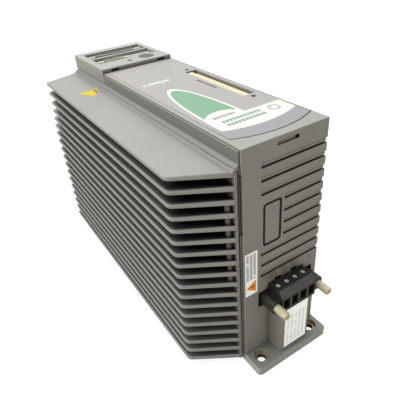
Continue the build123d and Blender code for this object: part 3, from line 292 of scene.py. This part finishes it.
# The heatsink's near screw boss.
BOSS_XY = (-38.2, -123.6)
BOSS_R = 2.1
BOSS_SHADE = (0.075, 0.068, 0.066)


def casting_paint(name="casting_paint"):
    """Painted die casting: slight orange peel, painted black shade between the fins, pale edges."""
    look = Look(name)
    colour = look.mix(look.noise(40, detail=4) * 0.25, CASTING, CASTING_LIGHT)
    colour = look.mix(look.edges(0.6) * 0.8, colour, (0.47, 0.465, 0.44))
    speck = look.noise(1.1, detail=1).above(0.73, 0.05)
    colour = look.mix(speck * 0.2, colour, CASTING_LIGHT)
    # Painted light: the fins' outer edges are painted a little paler than their faces.
    lit_face = look.facing((-0.54, -0.84, 0.0)).above(0.7, 0.3) * look.x.below(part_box("cover")[0].x / MM - 4.2, 0.3)
    colour = look.mix(lit_face * 0.35, colour, CASTING_LIGHT)
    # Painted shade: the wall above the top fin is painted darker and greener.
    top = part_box("heatsink")[1].z / MM
    wall = look.x.above(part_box("control_bezel")[0].x / MM - 0.6, 0.4) * look.z.between(top - 7.6, top - 0.3, 0.3)
    colour = look.mix(wall * 0.75, colour, CASTING_SHADE)
    # Painted shade: the ledge below it is darker too, and the top fin darkens towards its root.
    root_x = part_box("control_bezel")[0].x / MM - 2.6
    ledge = look.x.above(root_x, 0.3) * look.z.between(top - 10.6, top - 7.4, 0.2)
    root_shade = look.x.above(root_x - 8.0, 12.0) * look.z.above(top - 14.0, 0.5) * ledge.inverse()
    colour = look.mix(ledge * 0.55, colour, CASTING_SHADE)
    colour = look.mix(root_shade * 0.35, colour, CASTING_SHADE)
    # Painted shade: the gaps are painted black between the upper fins near the power end, and dark olive elsewhere.
    blackest = look.z.above(70, 50) * look.y.below(-100, 14)
    fins = look.x.below(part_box("cover")[0].x / MM - 3.2, 0.2)
    gap = look.shelter(12.0).below(0.66, 0.3) * (fins * 0.65 + 0.35)
    colour = look.mix(gap * (blackest * 0.2 + 0.8), colour, look.mix(blackest, GAP_SHADE, SHADOW_INK))
    # The screw boss that crosses the gaps near the power end stands in shadow.
    off_x = look.x - BOSS_XY[0]
    off_y = look.y - BOSS_XY[1]
    boss = ((off_x * off_x + off_y * off_y) ** 0.5).below(BOSS_R + 0.3, 0.2)
    boss = boss * look.facing((0.0, 0.0, 1.0)).between(-0.5, 0.5, 0.1)
    colour = look.mix(boss * 0.75, colour, BOSS_SHADE)
    peel = look.noise(2.2, detail=3)
    rough = look.noise(9) * 0.14 + 0.42
    return look.finish(colour, rough, height=peel, depth=0.06, edge=0.5)


# The seats around the mounting holes: their radius, the height of their floor and its colour.
SEAT_R = 5.5
SEAT_Z = 4.0
SEAT_TAN = (0.33, 0.24, 0.15)


def plate_paint():
    """The same paint on the base plate, with bare metal inside the mounting holes."""
    look = Look("plate_paint")
    colour = look.mix(look.noise(30, detail=4) * 0.25, PLATE, CASTING_LIGHT)
    colour = look.mix(look.edges(0.6) * 0.5, colour, CASTING_LIGHT)
    # Painted light: the rims are painted paler than the top.
    colour = look.mix(look.z.below(6.5, 0.4) * 0.8, colour, RIM_LIGHT)
    pattern = mount("mounting_holes")
    half_x = pattern["dims"]["spacing_x_mm"] / 2
    half_y = pattern["dims"]["spacing_y_mm"] / 2
    off_x = abs(look.x) - half_x
    off_y = abs(look.y) - half_y
    radius = (off_x * off_x + off_y * off_y) ** 0.5
    # Each hole has a wider seat for the bolt's head in its upper part.
    bare = radius.below(SEAT_R + 0.12, 0.1)
    streak = look.noise(0.5, stretch=(1, 1, 6))
    upper = look.mix(streak, TAN, (0.50, 0.485, 0.36))
    # Painted shade: the narrow bore below the seat is painted dark olive.
    metal = look.mix(look.z.above(SEAT_Z - 0.2, 0.3), HOLE_SHADE, upper)
    ledge = look.z.between(SEAT_Z - 0.1, SEAT_Z + 0.3, 0.1)
    metal = look.mix(ledge * 0.7, metal, SEAT_TAN)
    colour = look.mix(bare, colour, metal)
    peel = look.noise(2.2, detail=3)
    return look.finish(colour, bare * -0.08 + 0.48, metallic=bare * 0.4, height=peel, depth=0.05, edge=0.4)


def mount(name):
    """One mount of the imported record."""
    return next(m for m in frame["record"]["mounts"] if m["name"] == name)


def marks(look, along, across, row_gap, row_size, pitch, fill, shift=0.0, duty=1.0):
    """Rows of short plain dashes that stand for print, with no lettering."""
    row = (across / row_gap).math("FRACT") * row_gap
    in_row = row.below(row_size, 0.12)
    if duty < 1.0:
        in_row = in_row * (along / pitch).math("FRACT").below(duty, 0.1)
    cell = look.node("ShaderNodeCombineXYZ")
    look.feed((along / pitch).math("FLOOR"), cell.inputs[0])
    look.feed((across / row_gap).math("FLOOR") + shift, cell.inputs[1])
    dice = look.node("ShaderNodeTexWhiteNoise")
    look.link(cell.outputs[0], dice.inputs["Vector"])
    return in_row * Value(look.tree, dice.outputs["Value"]).below(fill, 0.01)


def overlay_print():
    """Front panel print: grey field, white-edged green half ellipse, white band."""
    look = Look("overlay_print")
    x, y = look.x, look.y
    centre_x, base_y = -12.0, -90.0
    dx = x - centre_x
    dy = y - base_y

    def dome(half_width, height):
        return ((dx / half_width) ** 2 + (dy / height) ** 2) ** 0.5

    upper = y.above(base_y, 0.2)
    white_dome = dome(14.3, 72.0).below(1.0, 0.012) * upper
    green_dome = dome(12.5, 67.5).below(1.0, 0.012) * upper
    lobe_y = y + 92.5
    lobe = ((dx / 15.5) ** 2 + (lobe_y / 15.0) ** 2) ** 0.5
    white_lobe = lobe.below(1.0, 0.015)
    # The band's near edge is an arc that runs parallel to the panel's edge.
    arc_y = y + 38.2
    arc = ((x - 1.5) ** 2 + arc_y ** 2) ** 0.5
    band = arc.below(72.3, 0.25) * y.below(-88.8, 0.2) * x.between(-26.6, 31.0, 0.2)
    white = white_dome.either(band)
    colour = look.mix(look.noise(18) * 0.3, OVERLAY_GREY, OVERLAY_DIM)
    colour = look.mix(y.below(-98, 20), colour, OVERLAY_BLUE)
    colour = look.mix(white, colour, WHITE)
    green = green_dome * white_lobe.inverse()
    colour = look.mix(green, colour, look.mix(look.noise(9), GREEN, GREEN_PALE))
    # Plain dashes stand for the printed words.
    words = marks(look, x, y + 101.8, 5.6, 3.6, 2.7, 0.96, duty=0.78) * y.between(-101.9, -92.4, 0.1)
    words = words * x.between(-19.0, 11.0, 0.2)
    colour = look.mix(words * 0.85, colour, GREEN_DEEP)
    badge = (((x - 20.0) ** 2 + (y + 96.5) ** 2) ** 0.5).between(2.6, 4.4, 0.2)
    colour = look.mix(badge * 0.6, colour, GREEN_DEEP)
    caption = marks(look, x, y + 88.2, 9.0, 3.6, 2.5, 0.96, 3.0, duty=0.68) * y.between(-88.3, -84.4, 0.1)
    caption = caption * x.between(-20.0, -4.0, 0.2)
    colour = look.mix(caption * 0.7, colour, INK)
    swatch = marks(look, x, y - 1.4, 9.0, 4.2, 1.6, 0.94, 7.0, duty=0.85) * y.between(1.4, 5.6, 0.1)
    swatch = swatch * x.between(-23.5, 0.0, 0.2)
    spot = (((x + 9.0) ** 2 + (y + 2.2) ** 2) ** 0.5).below(1.2, 0.2)
    colour = look.mix(swatch.either(spot) * 0.8, colour, WHITE)
    grain = look.noise(0.5, detail=1)
    return look.finish(colour, look.noise(12) * 0.1 + 0.38, height=grain, depth=0.012, edge=0.15)


def caution_print():
    """White label with an orange triangle and three columns of plain dashes."""
    look = Look("caution_print")
    x, z = look.x, look.z
    dashes = marks(look, z, x + 31.0, 2.8, 2.0, 1.5, 0.93, duty=0.74) * z.between(79.0, 101.0, 0.2)
    dashes = dashes * x.between(-31.0, -22.9, 0.1)
    colour = look.mix(dashes * 0.8, PAPER, INK)
    # The triangle points to -X: its half height shrinks towards its tip.
    half = (x + 31.6) * 0.62
    tri = (abs(z - 72.6) - half).below(0.0, 0.15) * x.below(-23.2, 0.15)
    colour = look.mix(tri, colour, ORANGE)
    bar = abs(z - 72.6).below(0.7, 0.15) * x.between(-27.9, -24.2, 0.15)
    dot = (((x + 29.1) ** 2 + (z - 72.6) ** 2) ** 0.5).below(0.6, 0.15)
    colour = look.mix(bar.either(dot) * 0.8, colour, INK)
    grain = look.noise(0.8)
    # Painted light: the label glows faintly.
    glow = {"emission_color": colour, "emission_strength": 0.25}
    return look.finish(colour, look.noise(5) * 0.1 + 0.4, height=grain, depth=0.01, edge=0.1, **glow)


def rating_print():
    """White label with five pale columns of plain dashes."""
    look = Look("rating_print")
    x, z = look.x, look.z
    dashes = marks(look, z, x + 5.6, 3.6, 1.8, 0.75, 0.78) * z.between(13.0, 42.0, 0.3)
    gap = z.between(24.0, 26.0, 0.3) * x.below(5.0, 0.5)
    dashes = dashes * x.between(-5.6, 11.6, 0.1) * gap.inverse()
    colour = look.mix(look.noise(14) * 0.3, PAPER, (0.80, 0.82, 0.82))
    colour = look.mix(dashes * 0.30, colour, INK)
    grain = look.noise(0.8)
    # Painted light: the bright paper glows faintly.
    glow = {"emission_color": colour, "emission_strength": 0.36}
    return look.finish(colour, look.noise(5) * 0.1 + 0.42, height=grain, depth=0.01, edge=0.1, **glow)


def fin_print():
    """Yellow triangle with a plain dark bar and dot."""
    look = Look("fin_print")
    low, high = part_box("fin_label")
    middle = (low + high) / 2 / MM
    x, y = look.x - middle.x, look.y - middle.y
    right = x - 4.4
    bar = abs(right).below(1.1, 0.15) * y.between(-0.5, 7.5, 0.2)
    dot = ((right ** 2 + (y + 3.2) ** 2) ** 0.5).below(1.2, 0.15)
    colour = look.mix(look.noise(6) * 0.3, YELLOW, YELLOW_DIM)
    colour = look.mix(bar.either(dot) * 0.85, colour, (0.10, 0.08, 0.01))
    return look.finish(colour, 0.75, height=look.noise(0.8), depth=0.01, edge=0.1)


def plastic(name, colour, rough, gloss=0.0, grain=0.6, depth=0.03, edge=0.25, sheen_facing=None):
    """A plain moulded plastic with fine grain, faint mottling and pale edges."""
    look = Look(name)
    lighter = tuple(min(1.0, c * 1.5 + 0.01) for c in colour)
    tone = look.mix(look.noise(7, detail=4) * 0.3, colour, lighter)
    tone = look.mix(look.edges(0.35) * 0.45, tone, tuple(min(1.0, c * 2.1 + 0.03) for c in colour))
    if sheen_facing:
        # Painted sheen: the face that looks along the given direction is painted paler, and a few streaks of
        # painted highlight run along the piece.
        lit_face = look.facing(sheen_facing).above(0.96, 0.04) * (look.noise(9, detail=4) * 0.9 + 0.35)
        streak = look.noise(1.2, detail=5, stretch=(1, 0.25, 1)).above(0.60, 0.12)
        tone = look.mix(lit_face.either(streak * 0.4) * 0.75, tone, (0.11, 0.107, 0.10))
    rough_map = look.noise(3) * 0.12 + (rough - 0.06)
    return look.finish(tone, rough_map, height=look.noise(grain), depth=depth, edge=edge, coat_weight=gloss)


def metal(name, colour, rough, metallic=1.0, stretch=(1, 1, 1), grain=0.4):
    """Plated or turned metal with fine tool marks and dull patches."""
    look = Look(name)
    darker = tuple(c * 0.55 for c in colour)
    tone = look.mix(look.noise(2.5, detail=5) * 0.6, colour, darker)
    # Painted shade: the metal darkens in tight corners.
    tone = look.mix(look.shelter(1.5).inverse() * 0.6, tone, darker)
    rough_map = look.noise(1.5) * 0.2 + (rough - 0.1)
    tool = look.noise(grain, detail=2, stretch=stretch)
    return look.finish(tone, rough_map, metallic=metallic, height=tool, depth=0.03, edge=0.15)


def lens():
    """Smoked window over the status display."""
    look = Look("smoked_lens")
    tone = look.mix(look.noise(5) * 0.3, (0.058, 0.055, 0.052), (0.078, 0.075, 0.072))
    return look.finish(tone, 0.45, height=look.noise(1.5), depth=0.01, edge=0.3, coat_weight=0.1)


def board():
    """Green solder mask with faint copper tracks beneath and pale pads."""
    look = Look("circuit_board")
    spread = look.x + look.y
    tracks = ((spread / 2.2).math("FRACT")).below(0.3, 0.1) * look.noise(14).above(0.5, 0.05)
    tone = look.mix(tracks * 0.5, (0.012, 0.085, 0.035), (0.05, 0.20, 0.08))
    pads = look.noise(1.4, detail=0).above(0.74, 0.03)
    tone = look.mix(pads * 0.8, tone, (0.55, 0.50, 0.38))
    return look.finish(tone, 0.35, height=tracks, depth=0.02, edge=0.1, coat_weight=0.3)


def windings(name, colour):
    """Enamelled wire laid side by side."""
    look = Look(name)
    turns = ((look.y / 0.9).math("SINE") * 0.5 + 0.5)
    # Painted shade: the colour darkens between neighbouring turns.
    tone = look.mix(turns, tuple(c * 0.35 for c in colour), colour)
    return look.finish(tone, 0.32, metallic=0.6, height=turns, depth=0.3, edge=0.2)


PAINTS = {
    "case_plastic": case_plastic(),
    "casting_paint": casting_paint(),
    "plate_paint": plate_paint(),
    "overlay_print": overlay_print(),
    "yellow_label": fin_print(),
    "dark_plastic": plastic("dark_plastic", DARK, 0.42, grain=0.5, sheen_facing=(0.0, -0.76, 0.65)),
    "black_plastic": plastic("black_plastic", BLACK, 0.45),
    "grey_insert": plastic("grey_insert", (0.20, 0.19, 0.175), 0.5),
    "cream_plastic": plastic("cream_plastic", CREAM, 0.42, grain=1.0, depth=0.02),
    "black_rubber": plastic("black_rubber", (0.008, 0.008, 0.008), 0.7, grain=0.4),
    "smoked_lens": lens(),
    "nickel_steel": metal("nickel_steel", NICKEL, 0.42, metallic=0.25),
    "zinc_steel": metal("zinc_steel", ZINC, 0.35),
    "brass": metal("brass", BRASS, 0.32),
    "tinned_brass": metal("tinned_brass", (0.60, 0.58, 0.53), 0.3),
    "circuit_board": board(),
    "grey_pad": plastic("grey_pad", (0.20, 0.20, 0.22), 0.8, grain=1.2),
    "capacitor_sleeve": plastic("capacitor_sleeve", (0.015, 0.018, 0.035), 0.25, gloss=0.4),
    "ferrite": plastic("ferrite", (0.03, 0.03, 0.031), 0.65, grain=0.3),
    "copper_coil": windings("copper_coil", (0.55, 0.20, 0.07)),
    "insulating_film": plastic("insulating_film", (0.62, 0.58, 0.45), 0.35),
}
# Pale plating with a painted highlight: its near-white, non-metal colour stands in for the screw heads' bright
# glints.
PLATED_WITH_GLINT = metal("plating_and_glint", (1.0, 0.95, 0.80), 0.5, metallic=0.0)
OWN_PAINTS = {
    "caution_label": caution_print(),
    "rating_label": rating_print(),
    **{f"clamp_screw_{n}": PLATED_WITH_GLINT for n in range(1, 5)},
    "command_shell": metal("dull_steel", (0.30, 0.285, 0.26), 0.5, metallic=0.4),
    "serial_shell": metal("plated_steel", (0.52, 0.49, 0.40), 0.45, metallic=0.3),
}

for subpart in frame["record"]["subparts"]:
    node = NODES[subpart["node"]]
    paint = OWN_PAINTS.get(subpart["node"]) or PAINTS[subpart["material_slot"]]
    node.data.materials.clear()
    node.data.materials.append(paint)


# ---------------------------------------------------------------------------
# Stage: pale floor, soft light, camera
# ---------------------------------------------------------------------------
def pale_floor():
    """A wide pale sheet under the drive, which throws only a little warm light back up."""
    mesh = bpy.data.meshes.new("floor")
    reach = 12.0
    corners = [(-reach, -reach, 0), (reach, -reach, 0), (reach, reach, 0), (-reach, reach, 0)]
    mesh.from_pydata(corners, [], [(0, 1, 2, 3)])
    floor = bpy.data.objects.new("floor", mesh)
    floor.location.z = -0.0002
    bpy.context.scene.collection.objects.link(floor)
    look = Look("pale_floor")
    tone = look.mix(look.noise(400) * 0.2, (0.24, 0.24, 0.24), (0.21, 0.21, 0.21))
    # It glows where the camera sees it, so shadows on it stay faint.
    seen = Value(look.tree, look.node("ShaderNodeLightPath").outputs["Is Camera Ray"])
    tone = look.mix(seen, (0.42, 0.395, 0.32), tone)
    glow = {"emission_color": (1.0, 1.0, 1.0), "emission_strength": seen * 0.85}
    floor.data.materials.append(look.finish(tone, 0.9, edge=0.1, **glow))


def soft_panel(name, place, aim, size, energy):
    """A rectangular softbox that faces a point."""
    light = bpy.data.lights.new(name, "AREA")
    light.shape = "RECTANGLE"
    light.size, light.size_y = size
    light.energy = energy
    lamp = bpy.data.objects.new(name, light)
    lamp.location = place
    lamp.rotation_euler = (Vector(aim) - Vector(place)).to_track_quat("-Z", "Y").to_euler()
    bpy.context.scene.collection.objects.link(lamp)


def soft_light():
    """A broad overhead light, a softbox on the heatsink side and a pale surround."""
    sun = bpy.data.lights.new("overhead", "SUN")
    sun.energy = 2.9
    sun.angle = math.radians(60)
    overhead = bpy.data.objects.new("overhead", sun)
    overhead.rotation_euler = (math.radians(-28), math.radians(4), 0)
    bpy.context.scene.collection.objects.link(overhead)
    soft_panel("fin_side", (-1.5, 0.4, 1.1), (0.0, 0.0, 0.1), (1.2, 1.0), 16.0)
    world = bpy.data.worlds.new("surround")
    world.use_nodes = True
    world.node_tree.nodes["Background"].inputs["Color"].default_value = (1.0, 1.0, 1.0, 1.0)
    seen = world.node_tree.nodes.new("ShaderNodeLightPath").outputs["Is Camera Ray"]
    strength = Value(world.node_tree, seen) * 0.4 + 0.6
    world.node_tree.links.new(strength.socket, world.node_tree.nodes["Background"].inputs["Strength"])
    bpy.context.scene.world = world
    bpy.context.scene.view_settings.view_transform = "Standard"


def camera():
    """The viewpoint: above the power end, on the heatsink side, with a slight roll."""
    lens = bpy.data.cameras.new("camera")
    lens.sensor_width = 36.0
    lens.lens = 38.0
    lens.clip_start = 0.01
    viewer = bpy.data.objects.new("camera", lens)
    ahead = Vector((0.421, 0.724, -0.546)).normalized()
    right = Vector((0.837, -0.542, -0.074))
    right = (right - ahead * right.dot(ahead)).normalized()
    up = right.cross(ahead)
    turn = Matrix((right, up, -ahead)).transposed()
    place = Vector((-0.1531, -0.2905, 0.2761))
    viewer.matrix_world = Matrix.Translation(place) @ turn.to_4x4()
    bpy.context.scene.collection.objects.link(viewer)
    bpy.context.scene.camera = viewer


pale_floor()
soft_light()
camera()
